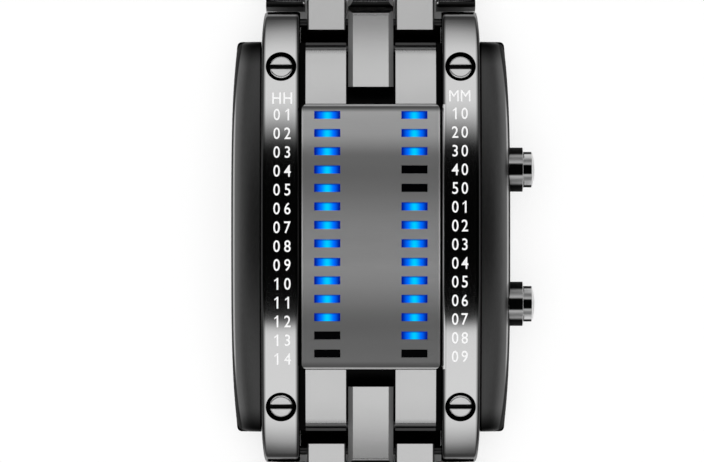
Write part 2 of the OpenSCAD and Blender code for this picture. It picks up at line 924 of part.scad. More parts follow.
module clasp_long_blade() {
  half = long_w / 2;
  knuckle_d = 2 * hinge_room;
  knuckle_end = half - 0.15;
  neck = near_knuckle / 2 + 0.3;
  color([0.66, 0.67, 0.69])
    mirror([0, 1, 0])
      difference() {
        union() {
          strip(near_hinge_s - 0.3, far_hinge_s - 0.2, long_low, long_t, half);
          clasp_place(far_hinge_s, far_hinge_r) rod_x(knuckle_d, -knuckle_end, knuckle_end);
          both_sides() clasp_place(near_hinge_s, near_hinge_r) rod_x(knuckle_d, neck - 0.2, knuckle_end);
        }
        strip(near_hinge_s - 2, near_hinge_s + hinge_room + 0.3, short_low, 3, neck);
        both_sides()
          clasp_sweep(button_s - latch_cut[1] / 2, button_s + latch_cut[1] / 2)
            translate([short_low, half - latch_cut[0]]) square([3, latch_cut[0] + 1]);
        clasp_place(far_hinge_s, far_hinge_r) rod_x(hinge_d + 2 * turn_gap, -cover_w, cover_w);
        clasp_place(near_hinge_s, near_hinge_r) rod_x(hinge_d + 2 * fixed_gap, -cover_w, cover_w);
      }
}

module clasp_short_blade() {
  half = short_w / 2;
  color([0.62, 0.63, 0.65])
    mirror([0, 1, 0])
      difference() {
        union() {
          strip(near_hinge_s + 0.2, clasp_len - 0.4, short_low, short_t, half);
          clasp_place(near_hinge_s, near_hinge_r)
            rod_x(2 * hinge_room, -near_knuckle / 2, near_knuckle / 2);
          tongues(clasp_len, -link_t / 2, 0);
        }
        // Neck between the knuckles of the long blade
        both_sides()
          clasp_sweep(near_hinge_s - 1, near_hinge_s + hinge_room + 0.4)
            translate([short_low - 1, near_knuckle / 2 + 0.1]) square([3, half]);
        // The last link's centre block reaches in between the tongues
        strip(clasp_len - link_t / 2 - end_gap, clasp_len + 1, short_low - 1, 3, tongue_in - side_gap / 2);
        pin_bore(clasp_len, pin_d + 2 * turn_gap);
        clasp_place(near_hinge_s, near_hinge_r) rod_x(hinge_d + 2 * turn_gap, -cover_w, cover_w);
      }
}

module clasp_far_pin() {
  color([0.55, 0.56, 0.58])
    mirror([0, 1, 0])
      clasp_place(far_hinge_s, far_hinge_r)
        rod_x(hinge_d, 0.1 - cover_w / 2, cover_w / 2 - 0.1);
}

module clasp_near_pin() {
  color([0.55, 0.56, 0.58])
    mirror([0, 1, 0])
      clasp_place(near_hinge_s, near_hinge_r)
        rod_x(hinge_d, 0.1 - long_w / 2, long_w / 2 - 0.1);
}

// A side button: a pad through the cover's wall, held in by a wider head behind the wall
module clasp_button() {
  head_x = cover_w / 2 - cover_wall - turn_gap - button_head[0];
  color([0.8, 0.81, 0.82])
    mirror([0, 1, 0])
      clasp_place(button_s, button_low) {
        translate([head_x, -button_head[1] / 2, 0]) cube(button_head);
        translate([
          head_x + button_head[0], -button_pad[1] / 2, (button_head[2] - button_pad[2]) / 2
        ])
          cube(button_pad);
      }
}

module clasp_button_right() { clasp_button(); }

module clasp_button_left() { mirror([1, 0, 0]) clasp_button(); }

// Leaf spring across the cover that pushes both buttons outward
module clasp_latch_spring() {
  reach = cover_w / 2 - cover_wall - turn_gap - button_head[0] - fixed_gap;
  color([0.6, 0.6, 0.62])
    mirror([0, 1, 0])
      clasp_place(button_s, long_low + long_t + 0.2)
        translate([-reach, -1, 0]) cube([2 * reach, 2, 0.2]);
}

case_middle();
hour_rail();
minute_rail();
left_side_cover();
right_side_cover();
display_plate();
window_strips();
rail_screws();
upper_end_block();
lower_end_block();
lug_pins();
upper_pusher();
lower_pusher();
pusher_tubes();
upper_pusher_spring();
lower_pusher_spring();
case_back();
back_gasket();
back_screws();
circuit_board();
leds();
board_parts();
module_holder();
battery();
battery_contact();
upper_link(1);  // upper_link_1
upper_link(2);  // upper_link_2
upper_link(3);  // upper_link_3
upper_link(4);  // upper_link_4
upper_link(5);  // upper_link_5
upper_link(6);  // upper_link_6
upper_link(7);  // upper_link_7
upper_link(8);  // upper_link_8
lower_link(1);  // lower_link_1
lower_link(2);  // lower_link_2
lower_link(3);  // lower_link_3
lower_link(4);  // lower_link_4
lower_link(5);  // lower_link_5
lower_link(6);  // lower_link_6
lower_link(7);  // lower_link_7
clasp_cover();
clasp_long_blade();
clasp_short_blade();
clasp_far_pin();
clasp_near_pin();
clasp_button_left();
clasp_button_right();
clasp_latch_spring();
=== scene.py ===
"""Looks of a steel wristwatch with two columns of light slots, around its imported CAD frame.

The frame of the CAD is in metres: +Y to the twelve o'clock strand, +X to the pushers, +Z out of
the display. Sizes here are in millimetres and turned into metres where a mesh or an object is
made, and finishes read the place of a point in millimetres too.
"""
import json
import math

import bmesh
import bpy
import numpy as np
from mathutils import Matrix, Vector


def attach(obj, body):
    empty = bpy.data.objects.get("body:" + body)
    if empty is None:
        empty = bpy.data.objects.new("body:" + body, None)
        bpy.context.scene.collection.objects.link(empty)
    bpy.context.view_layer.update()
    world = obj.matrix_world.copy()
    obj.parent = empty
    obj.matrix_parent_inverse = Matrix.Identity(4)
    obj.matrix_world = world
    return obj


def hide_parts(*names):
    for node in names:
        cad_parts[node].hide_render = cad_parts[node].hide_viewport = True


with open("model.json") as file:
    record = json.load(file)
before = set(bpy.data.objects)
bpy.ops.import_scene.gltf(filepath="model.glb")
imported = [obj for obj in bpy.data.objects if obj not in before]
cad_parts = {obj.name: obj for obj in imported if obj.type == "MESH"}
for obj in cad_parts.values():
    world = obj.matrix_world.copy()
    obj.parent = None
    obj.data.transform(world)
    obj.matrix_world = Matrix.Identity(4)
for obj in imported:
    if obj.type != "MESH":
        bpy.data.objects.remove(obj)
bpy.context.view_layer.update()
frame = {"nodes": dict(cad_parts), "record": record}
nodes = frame["nodes"]

MM = 0.001

# ---- The head ----
ARCH_R = 62.0
HEAD_H = 11.2
ARCH_Z = HEAD_H - ARCH_R
CASE_W = 25.2
HALF_LEN = 22.5
PLATE_LEN = 30.4
PIN_Y = 24.7

# ---- Rails and their screws ----
RAIL_W = 4.45
RAIL_T = 2.6
RAIL_MID = (CASE_W - RAIL_W) / 2
RAIL_IN = CASE_W / 2 - RAIL_W
RAIL_ROUND = 0.42
RAIL_DRAWN_IN = 0.45
SCREW_X = 10.325
SCREW_Y = 19.6
RECESS_D = 3.54
RECESS_DEPTH = 1.0
RECESS_REACH = 2.1
# Depths under the arch past which the screw recesses and the screw slots get black painted shade
RECESS_SHADE_DEPTH = 0.12
SLOT_SHADE_DEPTH = 0.27
DRUM_LEN = 3.0
# Where the rails get painted shade along their long edges and toward the lugs
RAIL_EDGE = (0.60, 0.22)
RAIL_FAR_END = (23.4, 26.2)
TIP_THIN = 0.02
RAIL_SHARP = 50.0

# ---- Side covers and pushers ----
SIDE_W = 3.45
SIDE_IN = CASE_W / 2 + 0.03
SIDE_OUT = SIDE_IN + SIDE_W
SIDE_BOW = 0.7
COVER_R = ARCH_R - 0.6
COVER_LOW = 1.8
COVER_END_Z = 4.0
FLAT_HALF = 18.0
COVER_ROUND = 0.45
COVER_EASE = 0.14
COVER_FOOT_R = 0.3
COVER_SHARP = 42.0
ROUNDING_STEPS = 7
# Places of the covers' painted shade at the outer edge and the ends, and of their two painted highlight
# lines
COVER_EDGE = (0.14, 0.26)
HIGHLIGHT_OUT = (0.20, 0.28)
HIGHLIGHT_IN = (0.34, 0.48)
HIGHLIGHT_ENDS = (13.0, 18.0)
HIGHLIGHT_BY_RAIL = (0.06, 0.16)
COVER_END = (3.0, 0.4)
CAP_X = 17.7

# ---- Display plate: painted reflection bands along Y, and painted shade rim and highlight line from its ends ----
BAND_RISES = (0.0, 8.0)
BAND_FALLS = (9.0, 12.0)
LOW_BAND = (3.0, 10.5)
RIM = (0.95, 0.35)
RIM_HIGHLIGHT = (0.24, 0.16)

# ---- Slots and scale numbers ----
ROWS = 14
ROW_PITCH = 2.11
ROW_SHIFT = 0.3
SLOT_W = 3.0
SLOT_H = 0.95
COLUMN_X = 5.0
TENS = 5
HOURS_LIT = 12
TENS_LIT = 3
UNITS_LIT = 8
LETTER_H = 1.36
LETTER_SPREAD = 0.86
INK_LIFT = 0.012
INK_HALF = 0.02

# ---- Links and end blocks: places from the middle of the head, and the depth of painted shade ----
CENTRE_HALF = 2.75
BAR_IN = 2.9
BAR_OUT = 7.8
# Where a bar's far end gets painted shade on the arch
BAR_FAR_END = (20.9, 21.9)
ARCH_SHADE_DEPTH = 0.8

# ---- Grain of the finishes: grains to the metre, and how far brushing draws them out ----
FINE = 9000.0
CLOUDS = 260.0
ALONG = (1, 25, 1)
ACROSS = (25, 1, 1)
BUMP_STRENGTH = 0.3

# ---- Outputs of the texture coordinate node ----
GENERATED, NORMAL, OBJECT = 0, 1, 3

# ---- The photograph's frame: its width at the dial and its middle ----
VIEW_W = 80.7
VIEW_MID = (-2.16, 0.66)
DIAL_Z = HEAD_H - 0.6
LENS = 300.0
SENSOR = 36.0


# ---------------------------------------------------------------- shader arithmetic
class Value:
    """A shader socket in an expression: each operator adds the Math node that works it out."""

    def __init__(self, shop, socket):
        self.shop, self.socket = shop, socket

    def _math(self, operation, *values):
        return self.shop.node("ShaderNodeMath", {"operation": operation}, *values)

    def __add__(self, other):
        return self._math("ADD", self, other)

    __radd__ = __add__

    def __sub__(self, other):
        return self._math("SUBTRACT", self, other)

    def __rsub__(self, other):
        return self._math("SUBTRACT", other, self)

    def __mul__(self, other):
        return self._math("MULTIPLY", self, other)

    def __truediv__(self, other):
        return self._math("DIVIDE", self, other)

    def __gt__(self, other):
        return self._math("GREATER_THAN", self, other)

    def __lt__(self, other):
        return self._math("LESS_THAN", self, other)

    def __abs__(self):
        return self._math("ABSOLUTE", self)

    def nearest(self):
        """The whole number nearest to it."""
        return self._math("ROUND", self)

    def angle_from(self, other):
        """The angle whose tangent is self over other."""
        return self._math("ARCTAN2", self, other)

    def either(self, other):
        """A mask that is 1 where either of the two is 1, and 0 where both are 0."""
        return self + (1 - self) * other

    def fade(self, start, end):
        """0 before start, 1 past end, and a smooth step between."""
        return self.shop.node(
            "ShaderNodeMapRange",
            {"interpolation_type": "SMOOTHSTEP"},
            self, float(start), float(end), 0.0, 1.0,
        )


class Shop:
    """Adds nodes to one tree and hands one output of each back as a Value."""

    def __init__(self, tree):
        self.tree = tree

    def node(self, kind, settings, *values, out=0):
        """A node of that kind: settings are set first, then values or links by socket order."""
        made = self.tree.nodes.new(kind)
        for key, setting in settings.items():
            setattr(made, key, setting)
        free = [s for s in made.inputs if s.enabled]
        for socket, value in zip(free, values):
            if isinstance(value, Value):
                self.tree.links.new(value.socket, socket)
            elif value is not None:
                socket.default_value = value
        shown = [s for s in made.outputs if s.enabled]
        return Value(self, shown[out])

    def parts(self, vector):
        """The three parts of a vector."""
        return [self.node("ShaderNodeSeparateXYZ", {}, vector, out=i) for i in range(3)]

    def place(self):
        """Object coordinates, and their three parts in millimetres."""
        whole = self.node("ShaderNodeTexCoord", {}, out=OBJECT)
        return whole, [part * (1 / MM) for part in self.parts(whole)]

    def facing(self):
        """The three parts of the way that a face points."""
        return self.parts(self.node("ShaderNodeTexCoord", {}, out=NORMAL))

    def tilted(self, flat, steep):
        """0 on faces that lie flat, face up or face down, and 1 on sides and rounded edges."""
        return 1 - abs(self.facing()[2]).fade(steep, flat)

    def noise(self, where, scale, stretch=(1, 1, 1), detail=3.0):
        """Noise of a number of grains to the metre, drawn out along an axis by stretch."""
        drawn = self.node(
            "ShaderNodeMapping", {"vector_type": "POINT"},
            where, (0, 0, 0), (0, 0, 0), tuple(1 / s for s in stretch),
        )
        return self.node(
            "ShaderNodeTexNoise", {"noise_dimensions": "3D"}, drawn, float(scale), detail, 0.55
        )

    def brushing(self, where, stretch):
        """Grains drawn out along the brushing, soft clouds, and the two worked into one."""
        grains = self.noise(where, FINE, stretch)
        clouds = self.noise(where, CLOUDS, detail=2.0)
        return grains, clouds, grains * 0.6 + clouds * 0.4

    def mix(self, amount, first, second):
        """Colour mix: first where amount is 0 and second where it is 1."""
        return self.node("ShaderNodeMix", {"data_type": "RGBA"}, amount, rgba(first), rgba(second))

    def bump(self, height, depth):
        """A bump that a height from 0 to 1 raises by depth metres."""
        return self.node("ShaderNodeBump", {}, BUMP_STRENGTH, depth, None, height)


def rgba(colour):
    """A colour for a socket, or the link itself."""
    return colour if isinstance(colour, Value) else (*colour, 1.0)


def shade(grey):
    """A grey as a colour."""
    return (grey, grey, grey)


def under_arch(y, z, depth):
    """1 where a point lies deeper than depth under the arch of the head, and 0 above that."""
    high = z - ARCH_Z
    return (y * y + high * high) < (ARCH_R - depth) ** 2


class Finish(Shop):
    """A material with one Principled shader, whose sockets are set or linked by name."""

    def __init__(self, name, **sockets):
        self.material = bpy.data.materials.new(name)
        self.material.use_nodes = True
        super().__init__(self.material.node_tree)
        self.shader = self.tree.nodes["Principled BSDF"]
        self.feed(**sockets)

    def feed(self, **sockets):
        """Sets or links sockets, and hands the material back."""
        for key, value in sockets.items():
            socket = self.shader.inputs[key.replace("_", " ")]
            if isinstance(value, Value):
                self.tree.links.new(value.socket, socket)
            else:
                socket.default_value = rgba(value) if isinstance(value, tuple) else value
        return self.material


# ---------------------------------------------------------------- finishes
def steel(name, grey, rough, stretch, depth=1.2e-6, spread=0.08):
    """Metal of a grey level, with a fine grain drawn out along its brushing direction."""
    made = Finish(name, Metallic=1.0)
    where, _ = made.place()
    grains, clouds, worked = made.brushing(where, stretch)
    return made.feed(
        Base_Color=made.mix(worked, shade(grey * (1 - spread)), shade(grey * (1 + spread))),
        Roughness=rough + (grains - 0.5) * 0.06 + (clouds - 0.5) * 0.02,
        Normal=made.bump(grains, depth),
    )


def link_finish(name, on_arch=False):
    """Bracelet steel: tops brushed bright along the strand, painted shade on sides and rounded edges.

    The two bars of a link stay bright further round their edges than its other pieces, and their
    painted shade is grey, the others' black. On the arch of the head, painted shade covers all that
    lies deeper than a rounded edge, and a bar's far end. The centre blocks' long bevels get a
    painted grey sheen.
    """
    made = Finish(name)
    where, (x, y, z) = made.place()
    grains, _, worked = made.brushing(where, ALONG)
    aside = abs(made.facing()[0])
    # Painted grey sheen on the centre blocks' long bevels, which are also made non-metallic.
    bevel = aside.fade(0.35, 0.55) * (1 - aside.fade(0.80, 0.92)) * (abs(x) < CENTRE_HALF)
    if on_arch:
        # Painted shade: tilted faces, all that lies deep under the arch, and toward a bar's far end.
        side = made.tilted(0.93, 0.60).either(under_arch(y, z, ARCH_SHADE_DEPTH))
        side = side.either((abs(x) > BAR_IN) * abs(y).fade(*BAR_FAR_END) * 0.75)
        dark = shade(0.10)
    else:
        # Painted shade on tilted faces, starting further round on the bars: grey on the bars, black
        # elsewhere.
        bars = (abs(x) > BAR_IN) * (abs(x) < BAR_OUT)
        side = made.tilted(0.96, 0.80) * bars + made.tilted(0.996, 0.982) * (1 - bars)
        dark = made.mix(bars, shade(0.025), shade(0.10))
    # The brushed tone, with the painted shade mixed in.
    plated = made.mix(side, made.mix(worked, shade(0.70), shade(0.82)), dark)
    return made.feed(
        Base_Color=made.mix(bevel, plated, shade(0.11)),
        Metallic=1 - bevel,
        Roughness=0.20 + grains * 0.10 + side * 0.06,
        Normal=made.bump(grains, 1.0e-6),
    )


def window_finish():
    """Blue windows: lit slots glow from a cyan middle to deep blue ends, the others are black.

    A painted shadow darkens each lit slot's top edge. Rows are numbered from 0 at the top. On the
    left the hours are lit, and on the right some of the tens of minutes and some of the units below
    them.
    """
    made = Finish(
        "window_blue", Metallic=0.0, Roughness=0.10, Specular_IOR_Level=0.012, Emission_Strength=1.0
    )
    _, (x, y, z) = made.place()
    turn = y.angle_from(z - ARCH_Z)
    row = (ROWS - 1) / 2 - (turn * ARCH_R - ROW_SHIFT) / ROW_PITCH
    right = x > 0.0
    tens = row < TENS_LIT - 0.5
    units = (row > TENS - 0.5) * (row < TENS + UNITS_LIT - 0.5)
    lit = (1 - right) * (row < HOURS_LIT - 0.5) + right * (tens + units)
    across = abs(abs(x) - COLUMN_X) / (SLOT_W / 2)
    glow = made.mix(across.fade(0.0, 0.55), (0.0, 0.60, 1.0), (0.0, 0.14, 0.98))
    glow = made.mix(across.fade(0.45, 0.95), glow, (0.0, 0.008, 0.26))
    # Painted shadow: the glow darkens toward each lit slot's top edge.
    rise = (row.nearest() - row) * ROW_PITCH / SLOT_H
    glow = made.mix(rise.fade(0.22, 0.52), glow, (0.0, 0.02, 0.30))
    return made.feed(
        Base_Color=made.mix(lit, (0.0005, 0.0005, 0.0007), (0.0, 0.004, 0.03)),
        Emission_Color=made.mix(lit, (0.0, 0.0, 0.0), glow),
    )


def number_finish():
    """Pale ink of the scale numbers, with the faint unevenness of printing."""
    made = Finish("number_ink", Roughness=0.55)
    where, _ = made.place()
    return made.feed(Base_Color=made.mix(made.noise(where, 5000.0), shade(0.74), shade(0.82)))


def cover_finish():
    """Dark plated side covers, with black painted shade along the outer edge and at the ends.

    Two painted highlights run as light lines: one inside the black edge, fading out toward the
    ends, and one beside the rail. inward is the way in from the bowed outer face.
    """
    made = Finish("gunmetal", Metallic=1.0)
    where, (x, y, _) = made.place()
    grains = made.noise(where, 7000.0, (1, 6, 1))
    along = y * y / HALF_LEN**2
    bow = along * along * SIDE_BOW
    inward = SIDE_OUT - bow - abs(x)
    # Painted shade: black along the bowed outer edge.
    edge = 1 - (inward - bow * 0.6).fade(*COVER_EDGE)
    # Painted highlights: a light line inside the black edge, fading toward the ends, and one beside the
    # rail.
    outer_highlight = inward.fade(*HIGHLIGHT_OUT) * (1 - inward.fade(*HIGHLIGHT_IN))
    outer_highlight = outer_highlight * (1 - abs(y).fade(*HIGHLIGHT_ENDS))
    inner_highlight = 1 - abs(x).fade(*[SIDE_IN + way for way in HIGHLIGHT_BY_RAIL])
    # Painted shade: black at the ends.
    end = abs(y).fade(*[HALF_LEN - way for way in COVER_END])
    tone = made.mix(grains, shade(0.085), shade(0.11))
    tone = made.mix(outer_highlight + inner_highlight, tone, shade(0.42))
    tone = made.mix(end, tone, shade(0.008))
    return made.feed(
        Base_Color=made.mix(edge, tone, shade(0.004)),
        Roughness=0.34 + grains * 0.08 + edge * 0.3,
        Normal=made.bump(grains, 1.0e-6),
    )


def rail_finish():
    """Polished scale rails, with painted shade along their long edges and toward the lugs.

    The screw recesses get black painted shade, and the minute rail's edge beside the plate stays
    bright, without painted shade.
    """
    made = Finish("rail_steel", Metallic=1.0)
    where, (x, y, z) = made.place()
    grains = made.noise(where, 12000.0, ALONG)
    off_x = abs(x) - SCREW_X
    off_y = abs(y) - SCREW_Y
    # Black painted shade in the screw recesses.
    near_screw = (off_x * off_x + off_y * off_y) < RECESS_REACH**2
    recess = near_screw * under_arch(y, z, RECESS_SHADE_DEPTH)
    beside_plate = (x < RAIL_IN + RAIL_ROUND) * (x > 0.0) * (abs(y) < PLATE_LEN / 2)
    # Painted shade along the long edges and toward the lugs, leaving out the minute rail's edge beside
    # the plate.
    edge = abs(abs(x) - RAIL_MID).fade(*[RAIL_W / 2 - inset for inset in RAIL_EDGE])
    edge = (edge * (1 - beside_plate)).either(abs(y).fade(*RAIL_FAR_END) * 0.85)
    polished = made.mix(edge, made.mix(grains, shade(0.76), shade(0.80)), shade(0.055))
    return made.feed(
        Base_Color=made.mix(recess, polished, shade(0.003)),
        Roughness=0.085 + grains * 0.03 + recess * 0.5,
        Normal=made.bump(grains, 3e-7),
    )


def screw_finish():
    """Rail screws: bright heads, with black painted shade in their slots."""
    made = Finish("screw_steel", Metallic=1.0)
    where, (_, y, z) = made.place()
    grains = made.noise(where, FINE, (12, 1, 1))
    # Black painted shade in the slots, deeper under the arch.
    slot = under_arch(y, z, SLOT_SHADE_DEPTH)
    return made.feed(
        Base_Color=made.mix(slot, made.mix(grains, shade(0.72), shade(0.82)), shade(0.02)),
        Roughness=0.16 + grains * 0.08 + slot * 0.4,
        Normal=made.bump(grains, 8e-7),
    )


def black_finish():
    """Black plated middle case."""
    made = Finish("black_case", Metallic=1.0)
    where, _ = made.place()
    grains = made.noise(where, FINE, (1, 12, 1))
    return made.feed(
        Base_Color=made.mix(grains, shade(0.006), shade(0.012)),
        Roughness=0.38 + grains * 0.10,
        Normal=made.bump(grains, 8e-7),
    )


def pusher_finish():
    """Turned pusher steel, with black painted shade on its flanks and along its crown, and bare end
    faces.
    """
    made = Finish("pusher_steel", Metallic=1.0)
    where, (x, _, _) = made.place()
    grains = made.noise(where, FINE, (1, 6, 6))
    outward = made.facing()[0].fade(0.1, 0.4)
    cap = x > CAP_X
    # Painted shade in black on the flanks and the crown, but not on faces turned outward.
    flank = made.tilted(0.82, 0.68) * (1 - cap) + made.tilted(0.56, 0.42) * cap
    crown = 1 - made.tilted(0.978, 0.952)
    dark = (flank + crown) * (1 - outward)
    return made.feed(
        Base_Color=made.mix(dark, made.mix(grains, shade(0.60), shade(0.66)), shade(0.006)),
        Roughness=0.30 + grains * 0.06 + dark * 0.4,
        Normal=made.bump(grains, 1e-7),
    )


def plate_finish():
    """Satin display plate, brushed across, with two soft darker bands of painted reflection.

    Its ends have a rim of painted shade with a thin painted highlight line outside it.
    """
    made = Finish("satin_plate", Metallic=1.0)
    where, (_, y, _) = made.place()
    strokes = made.noise(where, 14000.0, (40, 1, 1))
    clouds = made.noise(where, 300.0, (3, 1, 1), 2.0)
    # Two soft darker bands of painted reflection across the plate.
    upper = y.fade(*BAND_RISES) * (1 - y.fade(*BAND_FALLS))
    lower = (0 - y).fade(*LOW_BAND)
    # Painted shade in a rim at each end, with a painted highlight line outside it.
    rim = abs(y).fade(*[PLATE_LEN / 2 - way for way in RIM])
    line = abs(y).fade(*[PLATE_LEN / 2 - way for way in RIM_HIGHLIGHT])
    tone = made.mix(strokes * 0.5 + clouds * 0.5, shade(0.86), shade(0.98))
    tone = made.mix(upper * 0.55 + lower * 0.72, tone, shade(0.10))
    tone = made.mix(rim, tone, shade(0.20))
    return made.feed(
        Base_Color=made.mix(line, tone, shade(0.86)),
        Roughness=0.50 + (strokes - 0.5) * 0.12,
        Normal=made.bump(strokes, 1.2e-6),
    )


def plain(name, low, high, rough, metal=0.0):
    """A finish that wanders between two colours, with a shallow grain."""
    made = Finish(name, Metallic=metal)
    where, _ = made.place()
    grains = made.noise(where, 2500.0)
    return made.feed(
        Base_Color=made.mix(grains, low, high),
        Roughness=rough + (grains - 0.5) * 0.12,
        Normal=made.bump(grains, 4e-6),
    )


# ---- One finish for each material slot of the record ----
finishes = {
    "link_steel": link_finish("link_steel"),
    "rail_steel": rail_finish(),
    "gunmetal_side_cover": cover_finish(),
    "black_case": black_finish(),
    "case_steel": steel("case_steel", 0.60, 0.26, ACROSS),
    "satin_plate": plate_finish(),
    "blue_window": window_finish(),
    "screw_and_pin_steel": steel("screw_and_pin_steel", 0.66, 0.18, ACROSS),
    "pusher_steel": pusher_finish(),
    "spring_steel": steel("spring_steel", 0.55, 0.25, ALONG),
    "clasp_steel": steel("clasp_steel", 0.70, 0.32, ALONG, depth=4e-7, spread=0.05),
    "gasket_rubber": plain("gasket_rubber", shade(0.012), shade(0.02), 0.6),
    "board_laminate": plain("board_laminate", (0.01, 0.09, 0.04), (0.015, 0.13, 0.06), 0.45),
    "led_package": plain("led_package", (0.55, 0.58, 0.6), (0.68, 0.7, 0.72), 0.4),
    "board_part": plain("board_part", shade(0.02), shade(0.035), 0.5),
    "holder_plastic": plain("holder_plastic", shade(0.62), shade(0.7), 0.5),
    "cell_steel": steel("cell_steel", 0.68, 0.28, (8, 8, 1)),
    "contact_brass": plain("contact_brass", (0.72, 0.50, 0.20), (0.80, 0.58, 0.26), 0.3, 1.0),
}

# ---- Finishes of single pieces, which differ from their slot's ----
number_ink = number_finish()
arch_steel = link_finish("arch_steel", on_arch=True)
screw_steel = screw_finish()
# Lug pins: steel at a dark grey of 0.06, painted shade for the gaps that they sit in.
pin_steel = steel("pin_steel", 0.06, 0.3, ACROSS)


# ---------------------------------------------------------------- mesh making
def add_object(name, data):
    """An object with that data, in the scene."""
    made = bpy.data.objects.new(name, data)
    bpy.context.scene.collection.objects.link(made)
    return made


def worked_out(carrier):
    """The mesh that an object has once its letters or its modifiers are worked out."""
    graph = bpy.context.evaluated_depsgraph_get()
    return bpy.data.meshes.new_from_object(carrier.evaluated_get(graph))


def dress(piece, finish):
    """Gives a piece its one material."""
    piece.data.materials.clear()
    piece.data.materials.append(finish)


def make_piece(name, points, faces, slot, body, finish=None, stands_for=(), sharp=30.0):
    """A closed mesh from points in millimetres, smooth up to an angle, riding on a body."""
    mesh = bpy.data.meshes.new(name)
    mesh.from_pydata((np.asarray(points, float) * MM).tolist(), [], faces)
    mesh.validate()
    mesh.polygons.foreach_set("use_smooth", [True] * len(mesh.polygons))
    mesh.set_sharp_from_angle(angle=math.radians(sharp))
    mesh.update()
    piece = add_object(name, mesh)
    dress(piece, finish or finishes[slot])
    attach(piece, body)
    if stands_for:
        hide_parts(*stands_for)
    return piece


def loft(loops):
    """Faces of a solid through loops of points: quads between neighbours and a cap at each end."""
    rings, points = loops.shape[:2]
    i, j = np.meshgrid(np.arange(rings - 1), np.arange(points), indexing="ij")
    n = (j + 1) % points
    quads = np.stack([i * points + j, i * points + n, (i + 1) * points + n, (i + 1) * points + j], -1)
    caps = np.stack([np.arange(points)[::-1], np.arange(points) + (rings - 1) * points])
    return quads.reshape(-1, 4).tolist() + caps.tolist()


# ---------------------------------------------------------------- scale numbers
# The flag of a 1: its outline beside the stroke, in heights of the number, and its six faces
FLAG = np.array([[0.0, 1.0], [-0.30, 0.80], [-0.30, 0.68], [0.0, 0.86]])
FLAG_HALF = 0.019
FLAG_FACES = ((3, 2, 1, 0), (4, 5, 6, 7), (0, 1, 5, 4), (1, 2, 6, 5), (2, 3, 7, 6), (3, 0, 4, 7))
FLAG_SHIFT = 0.08
BOLDER = 0.007


def glyph(character):
    """Points and faces of one character, 1 high and 2 INK_HALF deep, centred across on 0.

    Its strokes are made bolder, apart from M, whose strokes would fold over. The built-in 1
    is a bare stroke, so it gets a flag: a slanted bar off its upper left corner.
    """
    curve = bpy.data.curves.new("glyph", "FONT")
    curve.body = character
    curve.size = 1.0
    curve.extrude = INK_HALF
    curve.offset = 0.0 if character == "M" else BOLDER
    curve.resolution_u = 4
    carrier = add_object("glyph", curve)
    mesh = worked_out(carrier)
    points = np.empty(len(mesh.vertices) * 3)
    mesh.vertices.foreach_get("co", points)
    points = points.reshape(-1, 3)
    faces = [list(p.vertices) for p in mesh.polygons]
    bpy.data.objects.remove(carrier)
    bpy.data.meshes.remove(mesh)
    left, low, _ = points.min(axis=0)
    right, high, _ = points.max(axis=0)
    points = (points - [(left + right) / 2, low, 0]) / [high - low, high - low, 1]
    if character == "1":
        start = len(points)
        layers = [np.column_stack([FLAG, np.full(4, depth)]) for depth in (-FLAG_HALF, FLAG_HALF)]
        points = np.vstack([points, *layers])
        faces += [[start + v for v in face] for face in FLAG_FACES]
        points[:, 0] += FLAG_SHIFT
    return points, faces


def scale_numbers(name, labels, x, heading, first, pitch, heading_gap, gap):
    """Numbers laid on a rail, each glyph's height along the arch and its depth outward.

    The heading's middle is at Y = heading, and that of row k under it at Y = first - (k - 1) pitch.
    A point y above a row's middle Y lies at the angle asin(Y / R) + y / R round the arch.
    """
    points, faces = [], []
    count = 0
    for k, label in enumerate(labels):
        middle = first - (k - 1) * pitch if k else heading
        step = gap if k else heading_gap
        for column, character in enumerate(label):
            flat, polygons = glyph(character)
            off_middle = (column - (len(label) - 1) / 2) * step
            across = x + off_middle + flat[:, 0] * LETTER_H * LETTER_SPREAD
            turn = math.asin(middle / ARCH_R) + (flat[:, 1] - 0.5) * LETTER_H / ARCH_R
            radius = ARCH_R + INK_LIFT + flat[:, 2]
            y, z = radius * np.sin(turn), ARCH_Z + radius * np.cos(turn)
            points.append(np.column_stack([across, y, z]))
            faces += [[count + v for v in polygon] for polygon in polygons]
            count += len(flat)
    make_piece(name, np.vstack(points), faces, "rail_steel", "head", finish=number_ink)


HOURS = ["HH"] + [f"{n:02d}" for n in range(1, ROWS + 1)]
MINUTES = ["MM"] + [f"{n}0" for n in range(1, TENS + 1)] + [f"{n:02d}" for n in range(1, 10)]
scale_numbers(
    "hour_numbers", HOURS, x=-10.18, heading=15.92, first=14.03, pitch=2.158,
    heading_gap=1.28, gap=1.24,
)
scale_numbers(
    "minute_numbers", MINUTES, x=10.22, heading=16.19, first=14.16, pitch=2.145,
    heading_gap=1.34, gap=1.10,
)


# ---------------------------------------------------------------- side covers and rails
def end_steps(reach, round_off, middle_steps):
    """Places from -reach to reach, close together where the last round_off at each end rounds.

    There the place is reach - round_off (1 - sin a) and the rounding's inset round_off (1 - cos a),
    with a from 0 to a right angle. Hands back the places and the insets.
    """
    a = np.linspace(0, math.pi / 2, ROUNDING_STEPS)
    outer = reach - round_off * (1 - np.sin(a))
    inset = round_off * (1 - np.cos(a))
    middle = np.linspace(-(reach - round_off), reach - round_off, middle_steps)[1:-1]
    places = np.concatenate([-outer[::-1], middle, outer])
    insets = np.concatenate([inset[::-1], np.zeros(len(middle)), inset])
    return places, insets


def arc(start, end, count):
    """Angles from start to end in degrees, as cosines and sines."""
    a = np.radians(np.linspace(start, end, count))
    return np.cos(a), np.sin(a)


